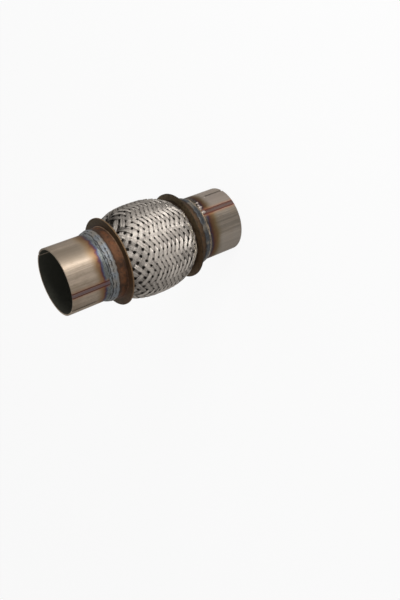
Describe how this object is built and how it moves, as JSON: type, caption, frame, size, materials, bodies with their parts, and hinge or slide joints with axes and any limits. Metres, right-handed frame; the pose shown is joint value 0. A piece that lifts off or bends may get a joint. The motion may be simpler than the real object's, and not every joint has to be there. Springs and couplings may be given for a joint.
{
  "type": "exhaust flex pipe",
  "caption": "Straight exhaust flex pipe: a barrel-shaped wire braid over bellows and an interlock liner, flanged end collars, and slotted stub tubes welded on.",
  "frame": {"origin": "centre of the lower mouth, on the surface that the pipe stands on", "axes": "+Z along the pipe's axis, towards the upper mouth"},
  "size_m": [0.0764, 0.0764, 0.16],
  "materials": {
    "stub_steel": "drawn steel tube, satin, heat-tinted beside the welds",
    "weld": "oxidised weld metal",
    "collar_steel": "pressed steel, brown from welding heat",
    "liner_steel": "strip-wound stainless steel",
    "bellows_steel": "thin stainless steel",
    "braid_steel": "woven bright stainless wire"
  },
  "bodies": {
    "root": {"lower_stub": "stub_steel", "upper_stub": "stub_steel", "lower_weld_bead": "weld", "upper_weld_bead": "weld", "lower_collar": "collar_steel", "upper_collar": "collar_steel", "interlock_liner": "liner_steel", "bellows": "bellows_steel", "braid": "braid_steel"}
  },
  "joints": []
}
